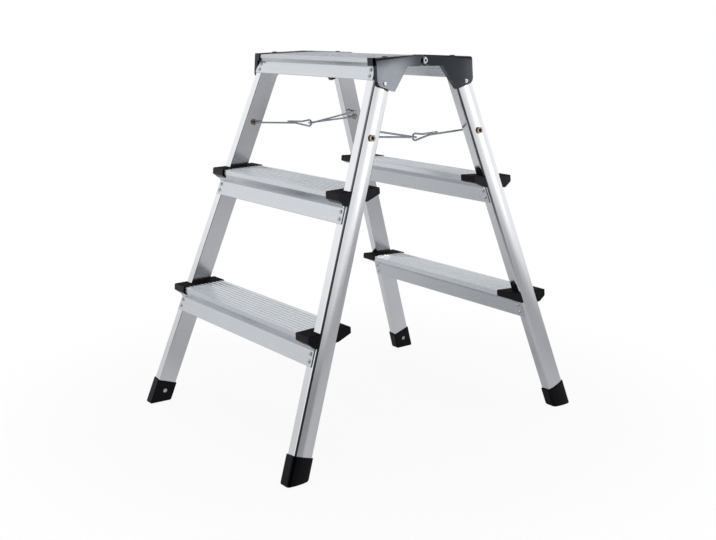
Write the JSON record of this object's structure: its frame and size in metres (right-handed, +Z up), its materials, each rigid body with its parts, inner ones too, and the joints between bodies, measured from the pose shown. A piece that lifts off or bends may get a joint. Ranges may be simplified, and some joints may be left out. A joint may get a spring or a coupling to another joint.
{
  "type": "trestle ladder",
  "caption": "Low double-sided folding trestle ladder: splayed aluminium leg frames with ribbed treads, a hinged platform, black plastic caps and feet, and wire stays",
  "frame": {"origin": "on the floor under the middle of the hinge line", "axes": "+X along the treads to the right end, -Y to the front frame, +Z up"},
  "size_m": [0.52, 0.6762, 0.692],
  "materials": {
    "stile": "satin extruded aluminium",
    "tread": "satin extruded aluminium, ribbed on top",
    "black_plastic": "moulded, satin black",
    "bracket_plastic": "moulded, gloss black",
    "wire": "zinc plated",
    "rivet": "bright",
    "pin": "zinc plated"
  },
  "bodies": {
    "front_frame": {"front_right_stile": "stile", "front_left_stile": "stile", "front_upper_tread": "tread", "front_lower_tread": "tread", "front_platform": "tread", "front_upper_right_cap": "black_plastic", "front_upper_left_cap": "black_plastic", "front_lower_right_cap": "black_plastic", "front_lower_left_cap": "black_plastic", "front_right_foot": "black_plastic", "front_left_foot": "black_plastic", "front_right_bracket": "bracket_plastic", "front_left_bracket": "bracket_plastic", "right_hinge_pin": "pin", "front_right_stay_rivet": "rivet", "front_left_stay_rivet": "rivet", "front_tread_rivets": "rivet", "front_platform_rivets": "rivet", "front_bracket_rivets": "rivet", "front_foot_rivets": "rivet"},
    "back_frame": {"back_right_stile": "stile", "back_left_stile": "stile", "back_upper_tread": "tread", "back_lower_tread": "tread", "back_platform": "tread", "back_upper_right_cap": "black_plastic", "back_upper_left_cap": "black_plastic", "back_lower_right_cap": "black_plastic", "back_lower_left_cap": "black_plastic", "back_right_foot": "black_plastic", "back_left_foot": "black_plastic", "back_right_bracket": "bracket_plastic", "back_left_bracket": "bracket_plastic", "left_hinge_pin": "pin", "back_right_stay_rivet": "rivet", "back_left_stay_rivet": "rivet", "back_tread_rivets": "rivet", "back_platform_rivets": "rivet", "back_bracket_rivets": "rivet", "back_foot_rivets": "rivet"},
    "right_bail": {"right_bail": "wire"},
    "right_rod": {"right_rod": "wire"},
    "left_bail": {"left_bail": "wire"},
    "left_rod": {"left_rod": "wire"}
  },
  "joints": [
    {"name": "fold", "type": "hinge", "parent": "front_frame", "child": "back_frame", "pos_m": [0, 0, 0.682], "axis": [-1, 0, 0], "range_deg": [0, 38]},
    {"name": "right_bail_swing", "type": "hinge", "parent": "front_frame", "child": "right_bail", "pos_m": [0.17461, -0.12464, 0.5535], "axis": [-1, 0, 0], "range_deg": [0, 70.37]},
    {"name": "right_rod_swing", "type": "hinge", "parent": "right_bail", "child": "right_rod", "pos_m": [0.17021, -0.004, 0.546], "axis": [1, 0, 0], "range_deg": [0, 98.19]},
    {"name": "left_bail_swing", "type": "hinge", "parent": "back_frame", "child": "left_bail", "pos_m": [-0.17461, 0.12464, 0.5535], "axis": [1, 0, 0], "range_deg": [0, 70.37]},
    {"name": "left_rod_swing", "type": "hinge", "parent": "left_bail", "child": "left_rod", "pos_m": [-0.17021, 0.004, 0.546], "axis": [-1, 0, 0], "range_deg": [0, 98.19]}
  ],
  "couplings": [
    {"joint": "right_bail_swing", "follows": "fold", "ratio": 1.8518},
    {"joint": "right_rod_swing", "follows": "fold", "ratio": 2.5837},
    {"joint": "left_bail_swing", "follows": "fold", "ratio": 1.8518},
    {"joint": "left_rod_swing", "follows": "fold", "ratio": 2.5837}
  ]
}
